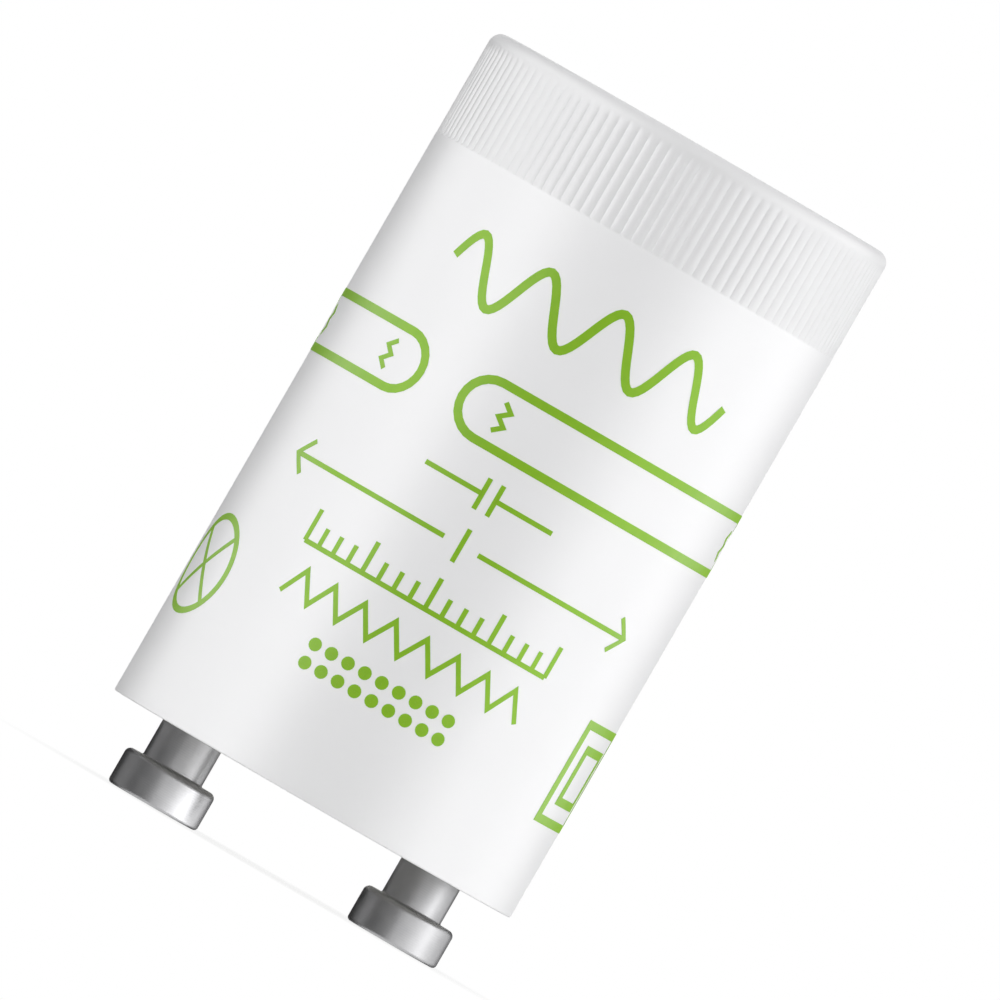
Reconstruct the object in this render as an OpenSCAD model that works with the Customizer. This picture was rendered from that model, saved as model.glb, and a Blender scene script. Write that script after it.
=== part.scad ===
// Glow starter for a fluorescent lamp, in millimetres.
// A moulded canister with a fluted grip is closed by a snapped-in base plate that
// carries two headed contact pins. Inside, a glow lamp with a bimetal switch and a
// small film capacitor hang on their leads, which are soldered into the pins.
// The starter stands on its pin heads: z = 0 is the end of the pins, and the
// pins lie on the x axis, one on each side of the canister's own axis.

/* [Canister] */
// Outside diameter of the canister
body_d = 21.1; // [20.5:0.1:23]
// Height of the canister, from its open rim to its flat top
body_h = 35.15; // [33.5:0.05:42]
// Thickness of the side wall
wall_t = 0.9; // [0.8:0.05:1.1]
// Thickness of the closed top
top_t = 1.2; // [0.8:0.1:2]
// Radius of the rounded edge where the side meets the top
top_edge_r = 0.6; // [0.4:0.05:1]
// Radius of the fillet inside, between the side wall and the top
top_fillet_r = 0.6; // [0.3:0.1:1]
// Break on the outer edge of the open rim
rim_edge = 0.08; // [0.05:0.01:0.3]

/* [Grip band] */
// Height of the fluted band, measured down from the flat top
grip_h = 5.35; // [4:0.05:8]
// Number of reeds round the band
reed_count = 120; // [100:4:132]
// Height of a reed above the valleys beside it
reed_depth = 0.06; // [0.05:0.01:0.14]
// How far the reed crests lie inside the plain side
grip_step = 0.03; // [0.02:0.01:0.1]
// Length over which a valley fades out below the rounded top edge
reed_fade = 0.55; // [0.3:0.05:0.9]

/* [Base plate] */
// Thickness of the base plate
plate_t = 1.8; // [1.5:0.1:2.4]
// How far the plate lies inside the rim
plate_recess = 0.6; // [0.5:0.05:0.9]
// Width of the ledge in the canister that the plate is pressed against
seat_w = 0.4; // [0.3:0.05:0.5]
// Gap all round between the plate and the canister
plate_gap = 0.05; // [0.02:0.01:0.1]
// Reach of each snap lug over the plate
lug_reach = 0.45; // [0.35:0.05:0.55]
// Height of each snap lug
lug_h = 0.4; // [0.3:0.05:0.45]
// Number of snap lugs round the rim
lug_count = 4; // [3:1:8]
// Angle that one lug takes up round the rim, in degrees
lug_angle = 22; // [12:1:30]
// Height of the boss round each pin on the inner face
boss_h = 0.6; // [0.4:0.1:1]
// Width of the boss wall round each pin
boss_w = 1.1; // [0.9:0.1:1.5]
// Height of the barrier between the two pins
barrier_h = 1.9; // [1:0.1:2.2]
// Thickness of the barrier
barrier_t = 0.8; // [0.6:0.1:1.2]
// Length of the barrier across the plate
barrier_l = 11; // [8:0.5:14]

/* [Pins] */
// Distance between the two pin axes
pin_pitch = 12.7; // [12.4:0.1:13]
// Diameter of a pin's head
head_d = 4.7; // [4.4:0.1:5]
// Height of a pin's head
head_h = 1.9; // [1.6:0.05:2.2]
// Rounding of the head's edge next to the shank
head_edge_r = 0.3; // [0.15:0.05:0.5]
// Rounding of the head's outer edge, at the free end
foot_edge_r = 0.2; // [0.1:0.05:0.4]
// Diameter of the shank
shank_d = 3.1; // [2.8:0.1:3.3]
// Free length of shank between the head and the canister's rim
shank_gap = 1.9; // [1.7:0.05:2.3]
// Diameter of the riveted collar on the inner face
collar_d = 4.4; // [4:0.1:5]
// Height of the riveted collar
collar_h = 0.7; // [0.5:0.05:1]
// Diameter of the solder bore in the pin's inner end
bore_d = 1.6; // [1.5:0.05:1.8]
// Depth of the solder bore
bore_depth = 3; // [2:0.1:4]

/* [Glow lamp] */
// Outside diameter of the glass tube
bulb_d = 8.8; // [8:0.1:9]
// Thickness of the glass
glass_t = 0.6; // [0.4:0.05:0.8]
// Length of the sealed tip beyond the dome
tip_l = 1.6; // [1:0.1:2]
// Diameter of the sealed tip at its root
tip_d = 2.2; // [1.6:0.1:2.6]
// Gap between the tube and the canister's wall behind it
lamp_wall_gap = 0.55; // [0.4:0.05:0.8]
// Height of the lamp's foot above the base plate
bulb_lift = 3.2; // [2.9:0.1:3.6]
// Gap between the tube's sealed tip and the canister's closed top
lamp_top_gap = 2.7; // [2:0.1:4]
// Height of the hollow flare in the lamp's foot
flare_h = 3.4; // [3:0.1:4]
// Height of the pressed part of the stem
press_h = 4; // [3:0.1:5]
// Width of the pressed part
press_w = 4.8; // [4.4:0.1:5.4]
// Thickness of the pressed part
press_t = 1.8; // [1.6:0.1:2.2]
// Distance between the two leads in the stem
stem_pitch = 2.6; // [2.4:0.1:2.8]

/* [Glow switch] */
// Diameter of the fixed electrode and of the bimetal's post
electrode_d = 0.6; // [0.4:0.05:0.7]
// Length of the fixed electrode above the stem
electrode_l = 8.5; // [7:0.5:9]
// Length of the bimetal's post above the stem
post_l = 4.5; // [4:0.1:6]
// Height of the bimetal's loop above the stem
loop_h = 9.4; // [9:0.1:10.5]
// Width of the bimetal strip
strip_w = 2.2; // [1.6:0.1:2.6]
// Thickness of the bimetal strip
strip_t = 0.18; // [0.12:0.01:0.25]
// Cold gap between the strip's free leg and the fixed electrode
contact_gap = 0.6; // [0.4:0.05:0.8]
// Length of the strip's free leg below the loop
free_leg_l = 6; // [5:0.5:7]

/* [Capacitor] */
// Length of the film winding, between its two metal ends
winding_l = 9.4; // [8.5:0.1:10]
// Height of the flattened winding
winding_h = 7; // [6:0.1:8]
// Thickness of the flattened winding
winding_t = 4; // [3.4:0.1:4.4]
// Thickness of the sprayed metal on each end
end_t = 0.35; // [0.2:0.05:0.5]
// Gap between the winding's ends and the canister's wall in front of it
winding_wall_gap = 0.5; // [0.4:0.05:1.5]
// Height of the winding's underside above the base plate
winding_lift = 3.4; // [3:0.1:5]
// Thickness of the tape wrapped round the winding
wrap_t = 0.15; // [0.1:0.01:0.25]
// Length of the solder bead that holds each lead to its end
bead_l = 3.2; // [2:0.1:4]
// Thickness of solder round the lead in the bead
bead_t = 0.24; // [0.15:0.01:0.35]
// How deep each lead is bedded in the sprayed metal
lead_sink = 0.08; // [0.04:0.01:0.12]

/* [Leads] */
// Diameter of a lamp lead
lamp_lead_d = 0.4; // [0.3:0.05:0.5]
// Diameter of a capacitor lead
cap_lead_d = 0.5; // [0.4:0.05:0.6]
// Radius of a lead's bends, at the middle of the wire
bend_r = 0.7; // [0.6:0.05:0.8]
// Height above the plate at which the leads cross to the lamp and the capacitor
run_lift = 2.3; // [2.1:0.05:2.5]

/* [Hidden] */
$fn = 96;
LEFT = -1;
RIGHT = 1;
// Number of straight steps that stand for a quarter circle in a turned outline
ARC_STEPS = 6;

// Heights
rim_z = head_h + shank_gap;
top_z = rim_z + body_h;
plate_z = rim_z + plate_recess;
plate_top_z = plate_z + plate_t;
collar_z = plate_top_z + boss_h;
bore_z = collar_z + collar_h - bore_depth;
run_z = plate_top_z + run_lift;
foot_z = plate_top_z + bulb_lift;
press_z = foot_z + flare_h;
stem_z = press_z + press_h;
winding_z = plate_top_z + winding_lift;

// Radii of the canister
body_r = body_d / 2;
inner_r = body_r - wall_t;
seat_r = inner_r + seat_w;
plate_r = seat_r - plate_gap;

// The reeds are round bars side by side: their radius follows from pitch and height
crest_r = body_r - grip_step;
reed_pitch = 2 * PI * crest_r / reed_count;
reed_r = (pow(reed_pitch / 2, 2) + pow(reed_depth, 2)) / (2 * reed_depth);
valley_r = crest_r - reed_depth;
// Extra cut below the valleys and beyond the body, so that the cutter ends nowhere on a face
cut_margin = 0.03;
grip_z = top_z - grip_h;
fade_z = top_z - top_edge_r - reed_fade;

// Pins and what is soldered into them
pin_x = pin_pitch / 2;
shank_r = shank_d / 2;
head_r = head_d / 2;
bore_r = bore_d / 2;
// Two wires lie side by side in the bore, with solder between them
wire_gap = 0.16;
lamp_wire_y = (lamp_lead_d + wire_gap) / 2;
cap_wire_y = -(cap_lead_d + wire_gap) / 2;
// Solder that stands above the collar, and how far it spreads beyond the bore
solder_dome_h = 0.45;
solder_spread = 0.25;

// Glow lamp
bulb_r = bulb_d / 2;
bulb_inner_r = bulb_r - glass_t;
bulb_y = inner_r - lamp_wall_gap - bulb_r;
// The tube's dome and tip end below the closed top, so its straight length follows
dome_z = top_z - top_t - lamp_top_gap - tip_l - bulb_r;
stem_x = stem_pitch / 2;

// Loop of the bimetal: it is welded to the outside of its post
electrode_r = electrode_d / 2;
welded_leg_x = stem_x + electrode_r + strip_t / 2;
free_leg_x = -stem_x + electrode_r + contact_gap + strip_t / 2;
loop_r = (welded_leg_x - free_leg_x) / 2;
loop_z = stem_z + loop_h - loop_r;

// Capacitor: the wall curves, so its front edge lies behind the chord that its ends reach
cap_lead_r = cap_lead_d / 2;
winding_chord_y = sqrt(pow(inner_r, 2) - pow(winding_l / 2, 2));
winding_y = winding_chord_y - winding_wall_gap - winding_t / 2;
cap_lead_x = winding_l / 2 + end_t + cap_lead_r - lead_sink;
winding_mid_z = winding_z + winding_h / 2;
// The sprayed metal stops a little inside the winding's outline
end_inset = 0.1;

// Points on a round corner about [x, z], from one angle to another
function corner(x, z, r, from, to) =
    [for (i = [0 : ARC_STEPS])
        let (a = from + (to - from) * i / ARC_STEPS)
        [x + r * cos(a), z + r * sin(a)]];

// Canister

// Section of the canister's wall without its flutes, as radius and height
module canister_section() {
    dimple_r = 1.3;
    dimple_depth = 0.2;
    ledge_top_z = grip_z - (crest_r - valley_r);
    ledge_z = ledge_top_z - grip_step;
    polygon(concat(
        [[0, top_z - dimple_depth],
         [dimple_r - dimple_depth, top_z - dimple_depth],
         [dimple_r, top_z]],
        corner(crest_r - top_edge_r, top_z - top_edge_r, top_edge_r, 90, 0),
        [[crest_r, ledge_top_z],
         [body_r, ledge_z],
         [body_r, rim_z + rim_edge],
         [body_r - rim_edge, rim_z],
         [seat_r, rim_z],
         [seat_r, plate_top_z],
         [inner_r, plate_top_z]],
        corner(inner_r - top_fillet_r, top_z - top_t - top_fillet_r, top_fillet_r, 0, 90),
        [[0, top_z - top_t]]
    ));
}

// Outline of the reeds seen from above: bars in a ring round a solid core
module reed_outline() {
    bar_x = crest_r - reed_r;
    circle(r = bar_x + reed_depth / 2);
    for (i = [0 : reed_count - 1])
        rotate(i * 360 / reed_count)
            translate([bar_x, 0])
                circle(r = reed_r, $fn = 32);
}

// Everything between the reeds: a ring with sloping ends, less the reeds themselves
module valleys() {
    in_r = valley_r - cut_margin;
    out_r = body_r + cut_margin;
    fade_slope = reed_fade / reed_depth;
    difference() {
        rotate_extrude()
            polygon([
                [in_r, grip_z + cut_margin],
                [out_r, grip_z + cut_margin - (out_r - in_r)],
                [out_r, fade_z + fade_slope * (out_r - in_r)],
                [in_r, fade_z]
            ]);
        translate([0, 0, grip_z - body_r])
            linear_extrude(height = grip_h + 2 * body_r)
                reed_outline();
    }
}

// One wedge on the rim's inner wall that holds the plate up against its ledge
module snap_lug() {
    rotate([0, 0, -lug_angle / 2])
        rotate_extrude(angle = lug_angle)
            polygon([
                [seat_r + wall_t / 10, plate_z],
                [seat_r - lug_reach, plate_z],
                [seat_r, plate_z - lug_h],
                [seat_r + wall_t / 10, plate_z - lug_h]
            ]);
}

module canister() {
    color("white") {
        difference() {
            rotate_extrude() canister_section();
            valleys();
        }
        // The lugs stand between the pins' line and the line across it
        for (i = [0 : lug_count - 1])
            rotate([0, 0, (i + 0.5) * 360 / lug_count])
                snap_lug();
    }
}

// Base plate and pins

module at_pins() {
    for (side = [LEFT, RIGHT])
        translate([side * pin_x, 0, 0])
            children();
}

module base_plate() {
    edge = 0.2;
    gate_r = 1.1;
    gate_depth = 0.25;
    color("whitesmoke")
        difference() {
            union() {
                rotate_extrude()
                    polygon([
                        [0, plate_z + gate_depth],
                        [gate_r - gate_depth, plate_z + gate_depth],
                        [gate_r, plate_z],
                        [plate_r - edge, plate_z],
                        [plate_r, plate_z + edge],
                        [plate_r, plate_top_z - edge],
                        [plate_r - edge, plate_top_z],
                        [0, plate_top_z]
                    ]);
                at_pins()
                    translate([0, 0, plate_top_z])
                        cylinder(r = shank_r + boss_w, h = boss_h);
                translate([-barrier_t / 2, -barrier_l / 2, plate_top_z])
                    cube([barrier_t, barrier_l, barrier_h]);
            }
            at_pins()
                translate([0, 0, plate_z - plate_t])
                    cylinder(r = shank_r, h = 3 * plate_t);
        }
}

// A turned pin: head, shank, riveted collar and the blind bore for the wires
module pin(side) {
    collar_top_z = collar_z + collar_h;
    collar_slope = collar_h / 2;
    color("silver")
        translate([side * pin_x, 0, 0])
            rotate_extrude()
                polygon(concat(
                    [[0, 0]],
                    corner(head_r - foot_edge_r, foot_edge_r, foot_edge_r, -90, 0),
                    corner(head_r - head_edge_r, head_h - head_edge_r, head_edge_r, 0, 90),
                    [[shank_r, head_h],
                     [shank_r, collar_z],
                     [collar_d / 2, collar_z],
                     [collar_d / 2, collar_top_z - collar_slope],
                     [collar_d / 2 - collar_slope, collar_top_z],
                     [bore_r, collar_top_z],
                     [bore_r, bore_z],
                     [0, bore_z]]
                ));
}

// Solder that fills the bore and stands as a low dome round the two wires
module solder(side) {
    solder_top_z = collar_z + collar_h;
    color("lightgray")
        difference() {
            translate([side * pin_x, 0, 0])
                rotate_extrude()
                    polygon([
                        [0, bore_z],
                        [bore_r, bore_z],
                        [bore_r, solder_top_z],
                        [bore_r + solder_spread, solder_top_z],
                        [bore_r, solder_top_z + solder_dome_h / 2],
                        [bore_r / 2, solder_top_z + solder_dome_h],
                        [0, solder_top_z + solder_dome_h]
                    ]);
            lamp_wire(side);
            capacitor_wire(side);
        }
}

// Leads

// A wire that rises, crosses over on a level run and rises again, with two round bends
module step_wire(from, to, low_z, level_z, high_z, r) {
    span = norm(to - from);
    heading = atan2(to[1] - from[1], to[0] - from[0]);
    translate([from[0], from[1], 0])
        rotate([0, 0, heading]) {
            translate([0, 0, low_z])
                cylinder(r = r, h = level_z - bend_r - low_z, $fn = 24);
            translate([bend_r, 0, level_z - bend_r])
                wire_bend(r, 90);
            translate([bend_r, 0, level_z])
                rotate([0, 90, 0])
                    cylinder(r = r, h = span - 2 * bend_r, $fn = 24);
            translate([span - bend_r, 0, level_z + bend_r])
                wire_bend(r, 270);
            translate([span, 0, level_z + bend_r])
                cylinder(r = r, h = high_z - level_z - bend_r, $fn = 24);
        }
}

// A quarter bend in the upright plane, which starts at the given angle
module wire_bend(r, start) {
    rotate([90, 0, 0])
        rotate([0, 0, start])
            rotate_extrude(angle = 90, $fn = 32)
                translate([bend_r, 0])
                    circle(r = r, $fn = 24);
}

module lamp_wire(side) {
    step_wire([side * pin_x, lamp_wire_y], [side * stem_x, bulb_y],
              bore_z, run_z, stem_z, lamp_lead_d / 2);
}

module capacitor_wire(side) {
    step_wire([side * pin_x, cap_wire_y], [side * cap_lead_x, -winding_y],
              bore_z, run_z, winding_mid_z + bead_l / 2, cap_lead_r);
}

module lamp_lead(side) {
    color("peru") lamp_wire(side);
}

module capacitor_lead(side) {
    color("silver") capacitor_wire(side);
}

// Glow lamp

// Half section of the glass tube, its dome and its sealed tip
module envelope_section() {
    dome_top_z = dome_z + bulb_r;
    tip_r = tip_d / 2;
    tip_root = asin(tip_r / bulb_r);
    polygon(concat(
        [[bulb_inner_r, foot_z + glass_t], [bulb_r, foot_z + glass_t]],
        corner(0, dome_z, bulb_r, 0, 90 - tip_root),
        [[tip_r * 0.62, dome_top_z + tip_l * 0.3],
         [tip_r * 0.45, dome_top_z + tip_l * 0.65],
         [tip_r * 0.2, dome_top_z + tip_l],
         [0, dome_top_z + tip_l]],
        corner(0, dome_z, bulb_inner_r, 90, 0)
    ));
}

module glass_envelope() {
    color("lightcyan", 0.4)
        translate([0, bulb_y, 0])
            rotate_extrude()
                envelope_section();
}

// The lamp's foot: a hollow flare sealed under the tube, and the flat press that holds the leads
module glass_stem() {
    hollow_r = stem_x + lamp_lead_d;
    seal_r = bulb_inner_r - glass_t / 2;
    shoulder = 0.2;
    color("lightcyan", 0.4)
        difference() {
            translate([0, bulb_y, 0]) {
                rotate_extrude()
                    polygon([
                        [0, press_z - glass_t],
                        [hollow_r, press_z - glass_t],
                        [hollow_r + glass_t, foot_z + glass_t],
                        [seal_r, foot_z],
                        [bulb_r, foot_z],
                        [bulb_r, foot_z + glass_t],
                        [seal_r, foot_z + glass_t],
                        [hollow_r + 2 * glass_t, foot_z + 2 * glass_t],
                        [press_w / 2 + shoulder, press_z],
                        [0, press_z]
                    ]);
                translate([0, 0, press_z - glass_t / 2])
                    linear_extrude(height = press_h + glass_t / 2)
                        press_outline();
            }
            lamp_wire(LEFT);
            lamp_wire(RIGHT);
        }
}

// Outline of the press from above: flat sides and round ends
module press_outline() {
    flat_w = press_w - press_t;
    square([flat_w, press_t], center = true);
    for (side = [LEFT, RIGHT])
        translate([side * flat_w / 2, 0])
            circle(r = press_t / 2, $fn = 48);
}

module fixed_electrode() {
    color("gray")
        translate([-stem_x, bulb_y, stem_z])
            cylinder(r = electrode_r, h = electrode_l, $fn = 32);
}

module bimetal_post() {
    color("gray")
        translate([stem_x, bulb_y, stem_z])
            cylinder(r = electrode_r, h = post_l, $fn = 32);
}

// One folded strip: welded leg, round loop and the free leg that bends to the electrode when hot
module bimetal_strip() {
    half_t = strip_t / 2;
    mid_x = (welded_leg_x + free_leg_x) / 2;
    weld_z = stem_z + post_l / 4;
    color("darkgray")
        translate([0, bulb_y + strip_w / 2, 0])
            rotate([90, 0, 0])
                linear_extrude(height = strip_w) {
                    translate([welded_leg_x - half_t, weld_z])
                        square([strip_t, loop_z - weld_z]);
                    translate([free_leg_x - half_t, loop_z - free_leg_l])
                        square([strip_t, free_leg_l]);
                    translate([mid_x, loop_z])
                        half_ring(loop_r + half_t, loop_r - half_t);
                }
}

// The upper half of a flat ring
module half_ring(outer_r, in_r) {
    difference() {
        circle(r = outer_r);
        circle(r = in_r);
        translate([-2 * outer_r, -2 * outer_r])
            square([4 * outer_r, 2 * outer_r]);
    }
}

// Capacitor

// Section of the flattened winding: flat front and back, round above and below
module winding_outline(grow = 0) {
    flat_h = winding_h - winding_t;
    square([winding_t + 2 * grow, flat_h], center = true);
    for (end = [-1, 1])
        translate([0, end * flat_h / 2])
            circle(r = winding_t / 2 + grow);
}

// Lays an outline across the starter, with its thickness along x
module across(x, thickness) {
    translate([x, -winding_y, winding_mid_z])
        rotate([90, 0, 90])
            linear_extrude(height = thickness)
                children();
}

module capacitor_winding() {
    color("khaki")
        across(-winding_l / 2, winding_l)
            winding_outline();
}

module capacitor_wrap() {
    color("gold")
        across(-winding_l / 2, winding_l)
            difference() {
                winding_outline(wrap_t);
                winding_outline();
            }
}

// Sprayed metal on one end of the winding, with the bead that is soldered round the lead
module capacitor_end(side) {
    face_x = winding_l / 2;
    color("lightslategray")
        difference() {
            union() {
                across(side * (face_x + end_t / 2) - end_t / 2, end_t)
                    winding_outline(-end_inset);
                intersection() {
                    solder_bead(side);
                    // Only what lies beyond the winding's end is kept
                    across(side * (face_x + winding_l / 4) - winding_l / 4, winding_l / 2)
                        square(2 * winding_h, center = true);
                }
            }
            capacitor_wire(side);
        }
}

// A bead round the upright end of the lead, which runs thin above and below
module solder_bead(side) {
    bead_r = cap_lead_r + bead_t;
    thin_r = cap_lead_r + bead_t / 3;
    translate([side * cap_lead_x, -winding_y, winding_mid_z])
        rotate_extrude($fn = 48)
            polygon([
                [0, -bead_l / 2],
                [thin_r, -bead_l / 2],
                [bead_r, -bead_l / 4],
                [bead_r, bead_l / 4],
                [thin_r, bead_l / 2],
                [0, bead_l / 2]
            ]);
}

canister();
base_plate();
pin(LEFT);  // pin_left
pin(RIGHT);  // pin_right
glass_envelope();
glass_stem();
fixed_electrode();
bimetal_post();
bimetal_strip();
lamp_lead(LEFT);  // lamp_lead_left
lamp_lead(RIGHT);  // lamp_lead_right
capacitor_winding();
capacitor_wrap();
capacitor_end(LEFT);  // capacitor_end_left
capacitor_end(RIGHT);  // capacitor_end_right
capacitor_lead(LEFT);  // capacitor_lead_left
capacitor_lead(RIGHT);  // capacitor_lead_right
solder(LEFT);  // solder_left
solder(RIGHT);  // solder_right
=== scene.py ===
# %% [markdown]
# # A glow starter for a fluorescent lamp
# The starter is a white plastic canister, as big as a thumb, with two headed pins
# under it. This lesson dresses it for a product photograph, step by step. The packed
# model gives every size and place, so the script first loads it and then reads from it.

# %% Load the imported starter
import math

import bmesh
import bpy
from mathutils import Matrix, Vector


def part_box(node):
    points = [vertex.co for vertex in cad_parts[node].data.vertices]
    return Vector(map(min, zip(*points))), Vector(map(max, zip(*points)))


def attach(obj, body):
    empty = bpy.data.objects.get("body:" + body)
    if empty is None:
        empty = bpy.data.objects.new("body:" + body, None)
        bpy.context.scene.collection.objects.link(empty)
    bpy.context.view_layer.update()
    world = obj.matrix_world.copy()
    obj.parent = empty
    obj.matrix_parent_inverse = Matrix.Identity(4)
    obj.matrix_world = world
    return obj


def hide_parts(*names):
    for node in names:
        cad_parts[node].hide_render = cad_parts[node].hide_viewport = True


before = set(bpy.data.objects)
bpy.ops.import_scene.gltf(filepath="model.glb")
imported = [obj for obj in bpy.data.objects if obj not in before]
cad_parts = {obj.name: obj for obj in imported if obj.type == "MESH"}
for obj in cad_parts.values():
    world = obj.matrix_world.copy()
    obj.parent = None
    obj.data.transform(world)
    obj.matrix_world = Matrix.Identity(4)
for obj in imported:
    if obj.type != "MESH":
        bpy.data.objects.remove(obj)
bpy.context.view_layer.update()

# %% [markdown]
# ## Sizes
# All of Blender's lengths are metres here, so a millimetre gets a name of its own.
# The canister's and the pins' main sizes come from the boxes of their nodes. Only what
# a box can't tell, such as the depth of a reed, is written down as a number.

# %% Sizes of the real starter
MM = 0.001

canister_low, canister_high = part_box("canister")
pin_low, pin_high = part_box("pin_right")

body_r = canister_high.x
rim_z = canister_low.z
top_z = canister_high.z
pin_x = (pin_low.x + pin_high.x) / 2
head_r = (pin_high.x - pin_low.x) / 2
plate_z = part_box("base_plate")[0].z

# The print is a real layer on the wall, and its outer face is the starter's widest place
ink_t = 0.02 * MM
wall_r = body_r - ink_t
print("canister radius in mm:", round(wall_r / MM, 3))

# %% [markdown]
# ## A few helpers
# A colour picked on a screen is sRGB, but shader sockets hold linear light, so one
# function turns a hex value into linear numbers. A second one adds a shader node,
# sets its options and fills its sockets with values or with other nodes' outputs.

# %% Colours and shader nodes
def linear(hex_code):
    """Turns an sRGB hex colour into linear red, green, blue and alpha."""
    levels = [int(hex_code[i:i + 2], 16) / 255 for i in (1, 3, 5)]
    curved = [((level + 0.055) / 1.055) ** 2.4 if level > 0.04045 else level / 12.92
              for level in levels]
    return (*curved, 1.0)


def add_node(tree, kind, sockets=None, **options):
    """Adds one node; a socket is given a value or another node's output."""
    node = tree.nodes.new(kind)
    for option, value in options.items():
        setattr(node, option, value)
    for socket, value in (sockets or {}).items():
        if isinstance(value, bpy.types.NodeSocket):
            tree.links.new(value, node.inputs[socket])
        else:
            node.inputs[socket].default_value = value
    return node


def new_surface(name, sockets):
    """Makes a material whose Principled shader starts with these socket values."""
    material = bpy.data.materials.new(name)
    material.use_nodes = True
    tree = material.node_tree
    shader = tree.nodes["Principled BSDF"]
    for socket, value in sockets.items():
        shader.inputs[socket].default_value = value
    return material, tree, shader


def feed(tree, shader, socket, output):
    """Links a pattern's output to one of the shader's sockets."""
    tree.links.new(output, shader.inputs[socket])


def size_to_scale(size):
    """Noise scale at which one lump is about this many metres across."""
    return 1 / size


def lines_to_scale(pitch):
    """Wave scale at which the lines lie this many metres apart."""
    return math.tau / 20 / pitch


# %% [markdown]
# ## Turned shapes
# Nearly every piece is round. On a lathe, or in a round mould, such a shape is one
# outline turned about an axis, and Blender's spin does the same. The outline is a list
# of radius and height. Its corners are rounded with short arcs, because no real edge
# is perfectly sharp, and a rounded edge is what catches the light.

# %% Outlines and spinning
def arc(radius, height, size, start, end, steps):
    """Points on a round corner about (radius, height), between two angles in degrees."""
    turns = [math.radians(start + (end - start) * i / steps) for i in range(steps + 1)]
    return [(radius + size * math.cos(turn), height + size * math.sin(turn))
            for turn in turns]


def spin_outline(outline, steps):
    """Turns an outline about the z axis and returns the closed bmesh."""
    mesh = bmesh.new()
    points = [mesh.verts.new((radius, 0, height)) for radius, height in outline]
    edges = [mesh.edges.new(pair) for pair in zip(points, points[1:])]
    bmesh.ops.spin(mesh, geom=points + edges, axis=(0, 0, 1), cent=(0, 0, 0),
                   angle=math.tau, steps=steps, use_merge=True)
    bmesh.ops.remove_doubles(mesh, verts=mesh.verts, dist=0.0005 * MM)
    bmesh.ops.recalc_face_normals(mesh, faces=mesh.faces)
    return mesh


def finish_mesh(mesh, name, material, crease=35):
    """Makes an object of a bmesh, smooth but for edges sharper than the crease angle."""
    data = bpy.data.meshes.new(name)
    mesh.to_mesh(data)
    mesh.free()
    data.shade_smooth()
    data.set_sharp_from_angle(angle=math.radians(crease))
    data.materials.append(material)
    piece = bpy.data.objects.new(name, data)
    bpy.context.scene.collection.objects.link(piece)
    print(name, "has", len(data.polygons), "faces")
    return piece


# %% [markdown]
# ## White polycarbonate
# The canister is injection moulded from white polycarbonate. A polished steel mould
# leaves it satin, with a soft sheen and no grain that the eye can find. The plastic is
# not dead even, though: it flows into the mould in faint swirls, and the sheen changes
# a little from place to place. Two slow noises give that, and a very fine one gives
# the surface its slight softness. In the mould the reeds are cut and not polished, so
# their band is a little duller. Its colour is also made a little greyer there, which is
# painted shade for the grooves between the reeds. The refractive index of polycarbonate
# is 1.585.

# %% Material of the canister
def white_polycarbonate(band_z):
    """Satin plastic, a little duller above this height, where the reeds are, and greyed there
    by painted shade.
    """
    blur = 0.05 * MM
    extra_roughness = 0.05
    material, tree, shader = new_surface("white_polycarbonate", {"IOR": 1.585})
    place = add_node(tree, "ShaderNodeTexCoord").outputs["Object"]
    height = add_node(tree, "ShaderNodeSeparateXYZ", {0: place}).outputs["Z"]
    in_band = add_node(tree, "ShaderNodeMapRange", {
        "Value": height, "From Min": band_z - blur, "From Max": band_z + blur})
    swirl = add_node(tree, "ShaderNodeTexNoise", {
        "Vector": place, "Scale": size_to_scale(6 * MM), "Detail": 3.0})
    colour = add_node(tree, "ShaderNodeMix", {
        "Factor": swirl.outputs["Fac"], "A": linear("#EEEEEF"), "B": linear("#F3F3F4")},
        data_type="RGBA")
    # The band's greyer colour is painted shade for the grooves between the reeds
    colour_with_painted_shade = add_node(tree, "ShaderNodeMix", {
        "Factor": in_band.outputs["Result"], "A": colour.outputs["Result"],
        "B": linear("#E6E6E7")}, data_type="RGBA")
    feed(tree, shader, "Base Color", colour_with_painted_shade.outputs["Result"])
    sheen = add_node(tree, "ShaderNodeTexNoise", {
        "Vector": place, "Scale": size_to_scale(2.5 * MM), "Detail": 2.0})
    roughness = add_node(tree, "ShaderNodeMapRange", {
        "Value": sheen.outputs["Fac"], "To Min": 0.42, "To Max": 0.48})
    rougher = add_node(tree, "ShaderNodeMath", {
        0: in_band.outputs["Result"], 1: extra_roughness, 2: roughness.outputs["Result"]},
        operation="MULTIPLY_ADD")
    feed(tree, shader, "Roughness", rougher.outputs[0])
    skin = add_node(tree, "ShaderNodeTexNoise", {
        "Vector": place, "Scale": size_to_scale(0.3 * MM), "Detail": 2.0})
    bump = add_node(tree, "ShaderNodeBump", {
        "Height": skin.outputs["Fac"], "Strength": 0.02, "Distance": 0.01 * MM})
    feed(tree, shader, "Normal", bump.outputs["Normal"])
    return material


# %% [markdown]
# ## The canister
# The canister is a cup, closed at the top. Fingers turn it by a band of fine reeds
# round the closed end: 120 rounded ribs with a sharp valley between each two. Below
# the band a small sloping ledge leads out to the plain wall, on which the print lies.
#
# One way to make the reeds is to model a single one and copy it round. Here the
# whole cup is spun at once, with eight steps to a reed, and then the points in the
# band are moved inwards by the depth that a round bar has at that place. So the reeds,
# the shoulder above them and the ledge below them are one closed skin.

# %% Sizes of the canister
wall_t = 0.9 * MM
top_t = 1.2 * MM
top_edge_r = 0.6 * MM
reed_count = 120
reed_depth = 0.06 * MM
grip_h = 5.35 * MM
grip_step = 0.03 * MM
reed_fade = 0.55 * MM
seat_w = 0.4 * MM
ledge_edge = 0.01 * MM
steps_per_reed = 8

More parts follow.
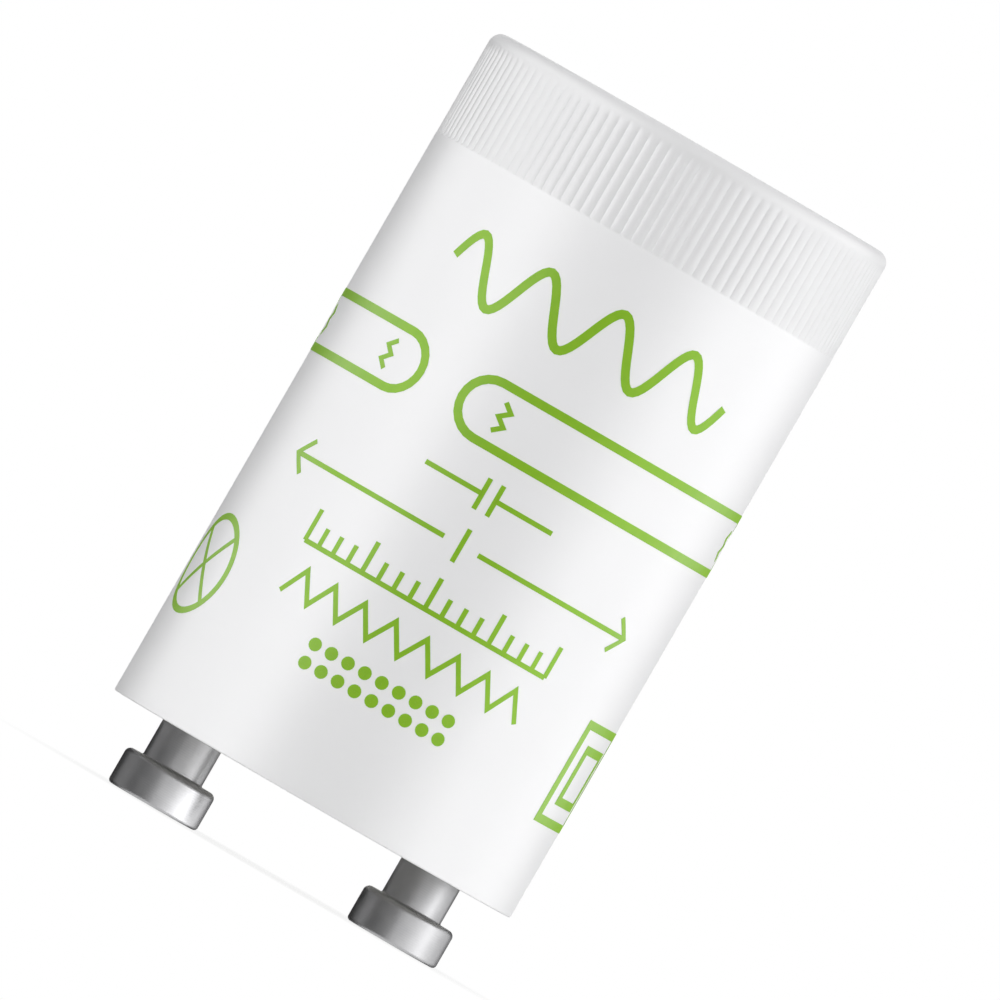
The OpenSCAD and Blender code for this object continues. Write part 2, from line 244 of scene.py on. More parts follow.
inner_r = body_r - wall_t
seat_r = inner_r + seat_w
crest_r = body_r - grip_step
grip_z = top_z - grip_h
reed_pitch = math.tau * crest_r / reed_count
reed_r = ((reed_pitch / 2) ** 2 + reed_depth ** 2) / (2 * reed_depth)
ledge_top_z = grip_z - reed_depth
ledge_z = ledge_top_z - (wall_r - crest_r) - 2 * ledge_edge
fade_z = top_z - top_edge_r - reed_fade
print("reed pitch in mm:", round(reed_pitch / MM, 3))

# %% Outline of the cup, from the middle of the top to the middle of the inside
plate_thick = 1.8 * MM
plate_top_z = plate_z + plate_thick
dimple_r = 1.3 * MM
dimple_depth = 0.2 * MM
rim_edge = 0.08 * MM
seat_edge = 0.06 * MM
fillet_r = 0.6 * MM
band_rows = 6
fade_rows = 6

dimple = [(0, top_z - dimple_depth), (dimple_r - dimple_depth, top_z - dimple_depth),
          (dimple_r, top_z)]
shoulder = arc(crest_r - top_edge_r, top_z - top_edge_r, top_edge_r, 90, 0, 10)
fade = [(crest_r, top_z - top_edge_r - reed_fade * (i + 1) / fade_rows)
        for i in range(fade_rows)]
band = [(crest_r, fade_z - (fade_z - ledge_top_z) * (i + 1) / band_rows)
        for i in range(band_rows)]
ledge = [(wall_r - ledge_edge, ledge_z + ledge_edge), (wall_r, ledge_z - 3 * ledge_edge)]
rim = arc(wall_r - rim_edge, rim_z + rim_edge, rim_edge, 0, -90, 4)
seat = [(seat_r + seat_edge, rim_z), (seat_r, rim_z + seat_edge),
        (seat_r, plate_top_z), (inner_r, plate_top_z)]
inside = arc(inner_r - fillet_r, top_z - top_t - fillet_r, fillet_r, 0, 90, 5)
cup_outline = dimple + shoulder + fade + band + ledge + rim + seat + inside
cup_outline.append((0, top_z - top_t))


# %% Reeds
def reed_drop(point):
    """How far the reeds' surface lies inside their crests, in the direction of a point."""
    reeds_round = math.atan2(point.y, point.x) / math.tau * reed_count
    off_crest = (reeds_round - round(reeds_round)) * reed_pitch
    return reed_r - math.sqrt(reed_r ** 2 - off_crest ** 2)


def reed_share(height):
    """Share of a reed's full depth at a height: it runs out under the rounded top edge."""
    rise = (height - fade_z) / reed_fade
    return 1 - min(max(rise, 0), 1) ** 2


def cut_reeds(mesh):
    """Moves the points of the grip band in between the reeds."""
    near = 0.001 * MM
    for point in mesh.verts:
        radius = point.co.xy.length
        if radius < crest_r - near or point.co.z > top_z - top_edge_r:
            continue
        if point.co.z < ledge_top_z - near:
            continue
        drop = reed_drop(point.co) * reed_share(point.co.z)
        # On the ledge the reed's foot climbs the slope as it goes in
        if abs(point.co.z - ledge_top_z) < near:
            point.co.z += drop
        point.co.xy *= (radius - drop) / radius


# %% Snap lugs inside the rim
lug_count = 4
lug_angle = math.radians(22)
lug_reach = 0.45 * MM
lug_h = 0.4 * MM
lug_root = 0.09 * MM
lug_steps = 12


def add_lugs(mesh):
    """Adds the wedges that hold the base plate against its ledge."""
    wedge = [(seat_r + lug_root, plate_z), (seat_r - lug_reach, plate_z),
             (seat_r, plate_z - lug_h), (seat_r + lug_root, plate_z - lug_h)]
    for i in range(lug_count):
        middle = math.tau * (i + 0.5) / lug_count
        points = [mesh.verts.new((radius, 0, height)) for radius, height in wedge]
        face = mesh.faces.new(points)
        start = Matrix.Rotation(middle - lug_angle / 2, 3, "Z")
        bmesh.ops.rotate(mesh, verts=points, cent=(0, 0, 0), matrix=start)
        bmesh.ops.spin(mesh, geom=[*points, *face.edges, face], axis=(0, 0, 1),
                       cent=(0, 0, 0), angle=lug_angle, steps=lug_steps, use_merge=False)
    bmesh.ops.recalc_face_normals(mesh, faces=mesh.faces)


# %% Make the canister
cup = spin_outline(cup_outline, reed_count * steps_per_reed)
cut_reeds(cup)
add_lugs(cup)
canister = finish_mesh(cup, "moulded_canister", white_polycarbonate(ledge_top_z))
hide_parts("canister")
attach(canister, "root")

# %% [markdown]
# ## The print
# The wall is printed in green ink. This print is a generic one, mostly the plain signs
# of electrical drawings: a wave for alternating current, two tubes, a capacitor, a
# zigzag and a lamp. A turning arrow, a scale, some dots and two squares go with them.
#
# Ink could be painted with a shader, but a pattern of lines is easier to draw as
# strokes, and it then has a real edge and a real thickness. Each stroke starts as a
# flat grid that is bent along its path. All of them are drawn on a flat sheet, whose
# sides are the distance round the wall and the height, and then wrapped on the wall.

# %% Strokes on the flat sheet
def stroke_frame(path, i, closed):
    """Sideways direction of a stroke at point i of its path, stretched at corners."""
    last = len(path) - 1
    before = path[i - 1] if i > 0 else (path[last - 1] if closed else path[0])
    after = path[i + 1] if i < last else (path[1] if closed else path[last])
    way_in = (path[i] - before).normalized() if path[i] != before else None
    way_out = (after - path[i]).normalized() if path[i] != after else None
    way_in = way_in or way_out
    way_out = way_out or way_in
    along = (way_in + way_out).normalized()
    stretch = 1 / max(along.dot(way_in), 0.5)
    return Vector((-along.y, along.x)) * stretch


def draw_stroke(sheet, path, width, closed=False):
    """Lays a grid of one row along the path; x is the way round and z the height."""
    columns = len(path) - 1
    made = bmesh.ops.create_grid(sheet, x_segments=columns, y_segments=1, size=0.5)
    for point in made["verts"]:
        i = round((point.co.x + 0.5) * columns)
        side = math.copysign(width / 2, point.co.y)
        spot = path[i] + stroke_frame(path, i, closed) * side
        point.co = (spot.x, 0, spot.y)


def line(*corners, step=0.5 * MM):
    """Points along straight lines through the corners, close enough to bend round."""
    path = []
    for start, end in zip(corners, corners[1:]):
        start = Vector(start)
        end = Vector(end)
        count = max(1, math.ceil((end - start).length / step))
        path += [start.lerp(end, i / count) for i in range(count)]
    return path + [Vector(corners[-1])]


def ring(middle, radius, steps=48):
    """Points of a circle, with the first one again at the end."""
    turns = [math.tau * i / steps for i in range(steps + 1)]
    return [Vector(middle) + radius * Vector((math.cos(turn), math.sin(turn)))
            for turn in turns]


def capsule(left, right, bottom, top, steps=12):
    """Points of a long outline with round ends, closed on itself."""
    radius = (top - bottom) / 2
    middle = (top + bottom) / 2
    ends = [math.pi / 2 + math.pi * i / steps for i in range(steps + 1)]
    left_end = [Vector((left + radius + radius * math.cos(turn),
                        middle + radius * math.sin(turn))) for turn in ends]
    right_end = [Vector((right - radius - radius * math.cos(turn),
                         middle - radius * math.sin(turn))) for turn in ends]
    floor_line = line(left_end[-1], right_end[0])[1:-1]
    roof_line = line(right_end[-1], left_end[0])[1:]
    return left_end + floor_line + right_end + roof_line


# %% Heights and widths of the printed rows, as on the real wall
bold = 0.42 * MM
fine = 0.24 * MM


def round_wall(angle):
    """Distance round the wall from the middle of the print to an angle in degrees."""
    return body_r * math.radians(angle)


def row(bottom, top):
    """Lower and upper edge of a row of print, from heights in millimetres."""
    return bottom * MM, top * MM


# %% Rows of the print
def draw_wave(sheet):
    """Sign for alternating current, four waves long."""
    low, high = row(27.3, 30.7)
    left, right = round_wall(-41), round_wall(44)
    waves = 4
    steps = 24 * waves
    path = [Vector((left + (right - left) * i / steps,
                    (low + high) / 2 + (high - low - bold) / 2
                    * math.sin(math.tau * waves * i / steps)))
            for i in range(steps + 1)]
    draw_stroke(sheet, path, bold)


def draw_tube(sheet, left, right):
    """A lamp tube with a coiled electrode at each end."""
    low, high = row(21.9, 25.2)
    coil_place = 2.2 * MM
    coil_w = 0.45 * MM
    coil_half_h = 0.22 * (high - low)
    inset = bold / 2
    draw_stroke(sheet, capsule(left + inset, right - inset, low + inset, high - inset),
                bold, closed=True)
    middle = (low + high) / 2
    for end, way in ((left, 1), (right, -1)):
        foot = end + way * coil_place
        corners = [(foot + way * coil_w * (i % 2), middle + coil_half_h * (i / 2 - 1))
                   for i in range(5)]
        draw_stroke(sheet, line(*corners, step=1 * MM), fine)


def draw_capacitor(sheet):
    """Two plates and their leads."""
    low, high = row(19.3, 20.9)
    middle = (low + high) / 2
    gap = 0.35 * MM
    reach = 3.4 * MM
    for way in (-1, 1):
        draw_stroke(sheet, line((way * gap, low), (way * gap, high)), fine)
        draw_stroke(sheet, line((way * gap, middle), (way * reach, middle)), fine)


def draw_turn_arrow(sheet):
    """An arrow each way, for the turn that locks the starter."""
    low, high = row(16.7, 18.4)
    middle = (low + high) / 2
    head = (high - low) / 2
    gap = 0.9 * MM
    for way in (-1, 1):
        tip = round_wall(55) * way
        draw_stroke(sheet, line((gap * way, middle), (tip, middle)), fine)
        draw_stroke(sheet, line((tip - way * head, low), (tip, middle),
                                (tip - way * head, high)), fine)
    draw_stroke(sheet, line((0, low), (0, high)), fine)


def draw_scale(sheet):
    """A plain scale: a base line with long and short ticks."""
    low, high = row(14.2, 15.8)
    reach = round_wall(37)
    ticks = 16
    short_tick = low + (high - low) * 0.6
    draw_stroke(sheet, line((-reach, low), (reach, low)), fine)
    for i in range(ticks + 1):
        spot = -reach + 2 * reach * i / ticks
        tall = high if i % 4 == 0 else short_tick
        draw_stroke(sheet, line((spot, low), (spot, tall)), fine)


def draw_zigzag(sheet):
    """Sign for resistance, in its zigzag form."""
    low, high = row(11.65, 13.05)
    reach = round_wall(36)
    teeth = 16
    corners = [(-reach + 2 * reach * i / teeth, high if i % 2 else low)
               for i in range(teeth + 1)]
    draw_stroke(sheet, line(*corners, step=2 * MM), fine)


def draw_dots(sheet):
    """Two rows of small dots."""
    low, high = row(9.0, 10.6)
    dot_r = 0.16 * MM
    dot_pitch = 0.9 * MM
    for height in (low + 2 * dot_r, high - 2 * dot_r):
        for i in range(-4, 5):
            spot = i * dot_pitch
            draw_stroke(sheet, ring((spot, height), dot_r, steps=16), 2 * dot_r, closed=True)


def draw_side_signs(sheet):
    """A lamp sign on the left, and a square in a square on the right."""
    low, high = row(8.3, 13.6)
    middle = (low + high) / 2
    radius = (high - low - bold) / 2
    left = round_wall(-69)
    cross = radius * math.sqrt(0.5)
    draw_stroke(sheet, ring((left, middle), radius), bold * 0.8, closed=True)
    for way in (-1, 1):
        draw_stroke(sheet, line((left - cross, middle - way * cross),
                                (left + cross, middle + way * cross)), fine)
    right = round_wall(75)
    for half in (radius, radius * 0.55):
        corners = [(right - half, middle - half), (right + half, middle - half),
                   (right + half, middle + half), (right - half, middle + half),
                   (right - half, middle - half)]
        draw_stroke(sheet, line(*corners), bold, closed=True)


# %% Wrap the sheet round the wall
def give_thickness(sheet, depth):
    """Pulls a second skin outwards from the flat strokes and closes the sides."""
    flat = list(sheet.faces)
    made = bmesh.ops.extrude_face_region(sheet, geom=flat)
    outer = [item for item in made["geom"] if isinstance(item, bmesh.types.BMVert)]
    bmesh.ops.translate(sheet, verts=outer, vec=(0, -depth, 0))


def wrap(sheet, radius):
    """Bends the sheet: x becomes the angle round the wall, and y the distance from it."""
    for point in sheet.verts:
        angle = point.co.x / body_r
        out = radius - point.co.y
        point.co = (out * math.sin(angle), -out * math.cos(angle), point.co.z)


# %% [markdown]
# The ink is a pad print: a thin, even film of green. It is a little glossier than the
# plastic, and where it lies thin the white shows through, so the colour wanders
# slightly from place to place.

# %% Material of the ink
def green_ink():
    material, tree, shader = new_surface("green_pad_print_ink", {
        "Roughness": 0.42, "IOR": 1.4})
    place = add_node(tree, "ShaderNodeTexCoord").outputs["Object"]
    film = add_node(tree, "ShaderNodeTexNoise", {
        "Vector": place, "Scale": size_to_scale(0.5 * MM), "Detail": 3.0})
    colour = add_node(tree, "ShaderNodeMix", {
        "Factor": film.outputs["Fac"], "A": linear("#79B006"), "B": linear("#8ABA11")},
        data_type="RGBA")
    feed(tree, shader, "Base Color", colour.outputs["Result"])
    return material


# %% Make the print
flat_sheet = bmesh.new()
draw_wave(flat_sheet)
draw_tube(flat_sheet, round_wall(-96), round_wall(-31))
draw_tube(flat_sheet, round_wall(-20), round_wall(96))
draw_capacitor(flat_sheet)
draw_turn_arrow(flat_sheet)
draw_scale(flat_sheet)
draw_zigzag(flat_sheet)
draw_dots(flat_sheet)
draw_side_signs(flat_sheet)
bmesh.ops.remove_doubles(flat_sheet, verts=flat_sheet.verts, dist=0.002 * MM)
ink_root = 0.01 * MM
give_thickness(flat_sheet, ink_t + ink_root)
wrap(flat_sheet, wall_r - ink_root)
bmesh.ops.recalc_face_normals(flat_sheet, faces=flat_sheet.faces)
printed_marks = finish_mesh(flat_sheet, "printed_marks", green_ink())
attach(printed_marks, "root")

# %% [markdown]
# ## The pins
# Each pin is turned from a metal bar: a wide head, a slim shank, and behind the base
# plate a collar that is riveted over and a small bore for the wires. The lathe leaves
# fine lines round the sides. The surface is satin, neither polished nor rough, so the
# pin shows broad soft bands of light and dark.

# %% Material of the pins
def turned_metal():
    material, tree, shader = new_surface("turned_satin_nickel", {
        "Metallic": 1.0, "Roughness": 0.36})
    place = add_node(tree, "ShaderNodeTexCoord").outputs["Object"]
    mottle = add_node(tree, "ShaderNodeTexNoise", {
        "Vector": place, "Scale": size_to_scale(0.7 * MM), "Detail": 4.0})
    colour = add_node(tree, "ShaderNodeMix", {
        "Factor": mottle.outputs["Fac"], "A": linear("#A9A9AB"), "B": linear("#BBBBBC")},
        data_type="RGBA")
    feed(tree, shader, "Base Color", colour.outputs["Result"])
    roughness = add_node(tree, "ShaderNodeMapRange", {
        "Value": mottle.outputs["Fac"], "To Min": 0.31, "To Max": 0.42})
    feed(tree, shader, "Roughness", roughness.outputs["Result"])
    # The real lines are finer than this; they are drawn coarse enough to show
    lines = add_node(tree, "ShaderNodeTexWave", {
        "Vector": place, "Scale": lines_to_scale(0.11 * MM), "Distortion": 0.6,
        "Detail": 2.0, "Detail Scale": 2.0}, bands_direction="Z")
    bump = add_node(tree, "ShaderNodeBump", {
        "Height": lines.outputs["Fac"], "Strength": 0.12, "Distance": 0.01 * MM})
    feed(tree, shader, "Normal", bump.outputs["Normal"])
    return material


pin_metal = turned_metal()

# %% Sizes and outline of a pin
head_h = 1.9 * MM
head_edge_r = 0.3 * MM
foot_edge_r = 0.2 * MM
shank_r = 1.55 * MM
collar_r = 2.2 * MM
boss_h = 0.6 * MM
collar_h = 0.7 * MM
collar_z = plate_top_z + boss_h
collar_top_z = collar_z + collar_h
bore_r = 0.8 * MM
bore_depth = 3 * MM
bore_z = collar_top_z - bore_depth
shank_fillet = 0.08 * MM

pin_outline = [(0, 0)]
pin_outline += arc(head_r - foot_edge_r, foot_edge_r, foot_edge_r, -90, 0, 6)
pin_outline += arc(head_r - head_edge_r, head_h - head_edge_r, head_edge_r, 0, 90, 8)
pin_outline += arc(shank_r + shank_fillet, head_h + shank_fillet, shank_fillet, -90, -180, 4)
pin_outline += [(shank_r, collar_z), (collar_r, collar_z)]
pin_outline += arc(collar_r - collar_h / 2, collar_top_z - collar_h / 2,
                   collar_h / 2, 0, 90, 6)
pin_outline += [(bore_r, collar_top_z), (bore_r, bore_z), (0, bore_z)]


# %% Make the pins
def make_pin(name, x, node):
    """Turns one pin and moves it out to its place on the x axis."""
    mesh = spin_outline(pin_outline, 96)
    bmesh.ops.translate(mesh, verts=mesh.verts, vec=(x, 0, 0))
    pin = finish_mesh(mesh, name, pin_metal)
    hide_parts(node)
    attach(pin, "root")
    return pin


left_pin = make_pin("turned_pin_left", -pin_x, "pin_left")
right_pin = make_pin("turned_pin_right", pin_x, "pin_right")

# %% [markdown]
# ## The base plate
# The plate that carries the pins is moulded too, in a plainer off-white plastic, and
# its mould is spark eroded, which gives an even matt grain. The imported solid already
# has the plate's true shape, so it stays, and only gets its finish.

# %% Material of the base plate
def matt_moulding():
    material, tree, shader = new_surface("matt_moulded_plate", {"Roughness": 0.55})
    place = add_node(tree, "ShaderNodeTexCoord").outputs["Object"]
    tone = add_node(tree, "ShaderNodeTexNoise", {
        "Vector": place, "Scale": size_to_scale(3 * MM), "Detail": 3.0})
    colour = add_node(tree, "ShaderNodeMix", {
        "Factor": tone.outputs["Fac"], "A": linear("#DEDDD8"), "B": linear("#E6E5E0")},
        data_type="RGBA")
    feed(tree, shader, "Base Color", colour.outputs["Result"])
    grain = add_node(tree, "ShaderNodeTexNoise", {
        "Vector": place, "Scale": size_to_scale(0.12 * MM), "Detail": 2.0})
    bump = add_node(tree, "ShaderNodeBump", {
        "Height": grain.outputs["Fac"], "Strength": 0.3, "Distance": 0.02 * MM})
    feed(tree, shader, "Normal", bump.outputs["Normal"])
    return material


def dress(node, material):
    """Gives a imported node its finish; the node's mesh stays as it is."""
    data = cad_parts[node].data
    data.materials.clear()
    data.materials.append(material)


dress("base_plate", matt_moulding())

# %% [markdown]
# ## The glow lamp
# The rest is sealed inside, but it has to be right as well, for anyone who takes the
# starter apart. The glow lamp is a piece of glass tube whose end was closed in a flame
# and drawn off in a small tip. The glass is spun from its half section, with a round
# dome and a tip that flows out of it, so light bends through a real wall thickness.
# Its material is clear glass with faint lines, which come from the drawing of the tube.

# %% Material of the glass
def drawn_glass():
    material, tree, shader = new_surface("drawn_clear_glass", {
        "Transmission Weight": 1.0, "IOR": 1.52})
    place = add_node(tree, "ShaderNodeTexCoord").outputs["Object"]
    long_place = add_node(tree, "ShaderNodeMapping", {
        "Vector": place, "Scale": (1.0, 1.0, 0.06)})
    streaks = add_node(tree, "ShaderNodeTexNoise", {
        "Vector": long_place.outputs["Vector"], "Scale": size_to_scale(0.5 * MM),
        "Detail": 3.0})
    tint = add_node(tree, "ShaderNodeMix", {
        "Factor": streaks.outputs["Fac"], "A": linear("#F1F8F6"), "B": linear("#FCFEFD")},
        data_type="RGBA")
    feed(tree, shader, "Base Color", tint.outputs["Result"])
    haze = add_node(tree, "ShaderNodeMapRange", {
        "Value": streaks.outputs["Fac"], "To Min": 0.0, "To Max": 0.06})
    feed(tree, shader, "Roughness", haze.outputs["Result"])
    bump = add_node(tree, "ShaderNodeBump", {
        "Height": streaks.outputs["Fac"], "Strength": 0.15, "Distance": 0.02 * MM})
    feed(tree, shader, "Normal", bump.outputs["Normal"])
    return material


glass = drawn_glass()

# %% Sizes and outline of the glass tube
glass_low, glass_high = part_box("glass_envelope")
bulb_r = (glass_high.x - glass_low.x) / 2
bulb_y = (glass_low.y + glass_high.y) / 2
glass_t = 0.6 * MM
tip_l = 1.6 * MM
tip_r = 1.1 * MM
tip_curve = 0.6
tip_waist = 0.45
bulb_inner_r = bulb_r - glass_t
dome_z = glass_high.z - tip_l - bulb_r
tip_root = math.degrees(math.asin(tip_r / bulb_r))
tip_foot_z = dome_z + bulb_r * math.cos(math.radians(tip_root))


def tip_radius(share):
    """Radius of the drawn tip, from its wide root (0) to its round end (1)."""
    waist = 1 - tip_waist * math.sin(math.pi * share) ** 2
    return tip_r * (1 - share) ** tip_curve * waist


tube_outline = [(bulb_inner_r, glass_low.z), (bulb_r, glass_low.z)]
tube_outline += arc(0, dome_z, bulb_r, 0, 90 - tip_root, 14)
tip_steps = 10
tube_outline += [(tip_radius(i / tip_steps),
                  tip_foot_z + (glass_high.z - tip_foot_z) * i / tip_steps)
                 for i in range(1, tip_steps + 1)]
tube_outline += arc(0, dome_z, bulb_inner_r, 90, 0, 16)
print("lamp tube in mm:", round(2 * bulb_r / MM, 2), "wide,",
      round((glass_high.z - glass_low.z) / MM, 2), "long")

# %% Make the glass tube
tube = spin_outline(tube_outline, 72)
bmesh.ops.translate(tube, verts=tube.verts, vec=(0, bulb_y, 0))
glass_tube = finish_mesh(tube, "drawn_glass_tube", glass)
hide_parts("glass_envelope")
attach(glass_tube, "root")
dress("glass_stem", glass)

# %% [markdown]
# ## The glow switch
# A fixed electrode and a post stand on the stem. The post carries a strip of bimetal,
# which is two metals rolled together and folded into a loop. The metals differ a
# little in colour, so the strip's two faces get two finishes. The strip is drawn as a
# path, and a narrow section with broken edges is carried along it, as a sweep does.

# %% Materials of wires and strip
def drawn_wire(name, dark, light, low_roughness, high_roughness):
    """Metal with the fine lines and small stains of drawn or rolled stock."""
    material, tree, shader = new_surface(name, {"Metallic": 1.0})
    place = add_node(tree, "ShaderNodeTexCoord").outputs["Object"]
    long_place = add_node(tree, "ShaderNodeMapping", {
        "Vector": place, "Scale": (1.0, 1.0, 0.08)})
    lines = add_node(tree, "ShaderNodeTexNoise", {
        "Vector": long_place.outputs["Vector"], "Scale": size_to_scale(0.06 * MM),
        "Detail": 3.0})
    stains = add_node(tree, "ShaderNodeTexNoise", {
        "Vector": place, "Scale": size_to_scale(1.2 * MM), "Detail": 4.0})
    colour = add_node(tree, "ShaderNodeMix", {
        "Factor": stains.outputs["Fac"], "A": linear(dark), "B": linear(light)},
        data_type="RGBA")
    feed(tree, shader, "Base Color", colour.outputs["Result"])
    roughness = add_node(tree, "ShaderNodeMapRange", {
        "Value": lines.outputs["Fac"], "To Min": low_roughness, "To Max": high_roughness})
    feed(tree, shader, "Roughness", roughness.outputs["Result"])
    bump = add_node(tree, "ShaderNodeBump", {
        "Height": lines.outputs["Fac"], "Strength": 0.2, "Distance": 0.005 * MM})
    feed(tree, shader, "Normal", bump.outputs["Normal"])
    return material


nickel_wire = drawn_wire("drawn_nickel_wire", "#93918B", "#B1AFA9", 0.28, 0.42)
dress("fixed_electrode", nickel_wire)
dress("bimetal_post", nickel_wire)

# %% Path of the bimetal strip: up the post, over the loop and down the free leg
strip_low, strip_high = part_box("bimetal_strip")
strip_t = 0.18 * MM
strip_break = 0.03 * MM
free_leg = 6 * MM
welded_x = strip_high.x - strip_t / 2
free_x = strip_low.x + strip_t / 2
loop_r = (welded_x - free_x) / 2
loop_x = (welded_x + free_x) / 2
loop_z = strip_high.z - strip_t / 2 - loop_r
free_end_z = loop_z - free_leg
leg_steps = 12

strip_path = [(welded_x, strip_low.z + (loop_z - strip_low.z) * i / leg_steps)
              for i in range(leg_steps)]
strip_path += arc(loop_x, loop_z, loop_r, 0, 180, 24)
strip_path += [(free_x, loop_z - (loop_z - free_end_z) * (i + 1) / leg_steps)
               for i in range(leg_steps)]


# %% Make the bimetal strip
def sweep_strip(path, thickness, low_y, high_y, edge):
    """Carries a flat section with broken edges along a path in the xz plane."""
    mesh = bmesh.new()
    rows = []
    for i, (x, z) in enumerate(path):
        before = path[max(i - 1, 0)]
        after = path[min(i + 1, len(path) - 1)]
        along = Vector((after[0] - before[0], 0, after[1] - before[1])).normalized()
        out = Vector((along.z, 0, -along.x))
        half = thickness / 2
        section = [(half, low_y + edge), (half, high_y - edge), (half - edge, high_y),
                   (edge - half, high_y), (-half, high_y - edge), (-half, low_y + edge),
                   (edge - half, low_y), (half - edge, low_y)]
        rows.append([mesh.verts.new(Vector((x, y, z)) + out * side) for side, y in section])
    for lower, upper in zip(rows, rows[1:]):
        for i in range(len(lower)):
            j = (i + 1) % len(lower)
            face = mesh.faces.new((lower[i], lower[j], upper[j], upper[i]))
            face.material_index = 1 if i == 4 else 0
    mesh.faces.new(rows[0])
    mesh.faces.new(reversed(rows[-1]))
    bmesh.ops.recalc_face_normals(mesh, faces=mesh.faces)
    return mesh


bright_side = drawn_wire("bimetal_low_side", "#A5A39D", "#BDBBB5", 0.25, 0.38)
bronze_side = drawn_wire("bimetal_high_side", "#A08F78", "#B9A88F", 0.28, 0.42)
strip_mesh = sweep_strip(strip_path, strip_t, strip_low.y, strip_high.y, strip_break)
bimetal_strip = finish_mesh(strip_mesh, "folded_bimetal", bright_side)
bimetal_strip.data.materials.append(bronze_side)
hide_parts("bimetal_strip")
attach(bimetal_strip, "root")

# %% [markdown]
# ## Leads and solder
# The lamp hangs on copper-clad wire, which seals well in glass. The capacitor has
# plain tinned wire. Both pairs end in the bores of the pins, under a drop of solder
# that froze with a slight grain.

# %% Dress the wires and the solder
copper_wire = drawn_wire("copper_clad_wire", "#B8704C", "#D59070", 0.25, 0.4)
tinned_wire = drawn_wire("tinned_wire", "#B4B4B6", "#CBCBCD", 0.2, 0.34)


def frozen_solder():
    material, tree, shader = new_surface("frozen_solder", {"Metallic": 1.0})
    place = add_node(tree, "ShaderNodeTexCoord").outputs["Object"]
    grain = add_node(tree, "ShaderNodeTexVoronoi", {
        "Vector": place, "Scale": size_to_scale(0.35 * MM)})
    colour = add_node(tree, "ShaderNodeMix", {
        "Factor": grain.outputs["Distance"], "A": linear("#B6B6B9"), "B": linear("#CDCDD0")},
        data_type="RGBA")
    feed(tree, shader, "Base Color", colour.outputs["Result"])
    roughness = add_node(tree, "ShaderNodeMapRange", {
        "Value": grain.outputs["Distance"], "To Min": 0.16, "To Max": 0.34})
    feed(tree, shader, "Roughness", roughness.outputs["Result"])
    bump = add_node(tree, "ShaderNodeBump", {
        "Height": grain.outputs["Distance"], "Strength": 0.2, "Distance": 0.02 * MM})
    feed(tree, shader, "Normal", bump.outputs["Normal"])
    return material


solder = frozen_solder()
for side in ("left", "right"):
    dress("lamp_lead_" + side, copper_wire)
    dress("capacitor_lead_" + side, tinned_wire)
    dress("solder_" + side, solder)

# %% [markdown]
# ## The capacitor
# Two metallised films are wound up together and pressed flat. Seen from the end, their
# turns lie round each other like the rings of a tree, so the shader works out how far
# a point lies from the middle of the winding and draws a line for every few turns. A
# yellow tape holds the winding, and metal sprayed on both ends joins the turns. Sprayed
# metal is rough, like coarse sandpaper.

# %% Materials of the capacitor
winding_low, winding_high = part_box("capacitor_winding")
winding_y = (winding_low.y + winding_high.y) / 2
winding_z = (winding_low.z + winding_high.z) / 2
winding_flat = (winding_high.z - winding_low.z) - (winding_high.y - winding_low.y)
ring_pitch = 0.12 * MM


def wound_film():
    """Film whose turns show as thin rings round a flat middle."""
    material, tree, shader = new_surface("wound_metallised_film", {"Roughness": 0.3})
    place = add_node(tree, "ShaderNodeTexCoord").outputs["Object"]
    centred = add_node(tree, "ShaderNodeVectorMath", {
        0: place, 1: (0, winding_y, winding_z)}, operation="SUBTRACT")
    axes = add_node(tree, "ShaderNodeSeparateXYZ", {"Vector": centred.outputs["Vector"]})
    height = add_node(tree, "ShaderNodeMath", {0: axes.outputs["Z"]}, operation="ABSOLUTE")
    beyond = add_node(tree, "ShaderNodeMath", {
        0: height.outputs[0], 1: winding_flat / 2}, operation="SUBTRACT")
    above = add_node(tree, "ShaderNodeMath", {0: beyond.outputs[0], 1: 0.0},
                     operation="MAXIMUM")
    spread = add_node(tree, "ShaderNodeCombineXYZ", {
        "X": axes.outputs["Y"], "Y": above.outputs[0]})
    ring_r = add_node(tree, "ShaderNodeVectorMath", {0: spread.outputs["Vector"]},
                      operation="LENGTH")
    turns = add_node(tree, "ShaderNodeMath", {
        0: ring_r.outputs["Value"], 1: math.tau / ring_pitch}, operation="MULTIPLY")
    wave = add_node(tree, "ShaderNodeMath", {0: turns.outputs[0]}, operation="SINE")
    shade = add_node(tree, "ShaderNodeMapRange", {
        "Value": wave.outputs[0], "From Min": -1.0, "From Max": 1.0})
    colour = add_node(tree, "ShaderNodeMix", {
        "Factor": shade.outputs["Result"], "A": linear("#B9A878"), "B": linear("#DCD0A6")},
        data_type="RGBA")
    feed(tree, shader, "Base Color", colour.outputs["Result"])
    bump = add_node(tree, "ShaderNodeBump", {
        "Height": wave.outputs[0], "Strength": 0.3, "Distance": 0.01 * MM})
    feed(tree, shader, "Normal", bump.outputs["Normal"])
    return material


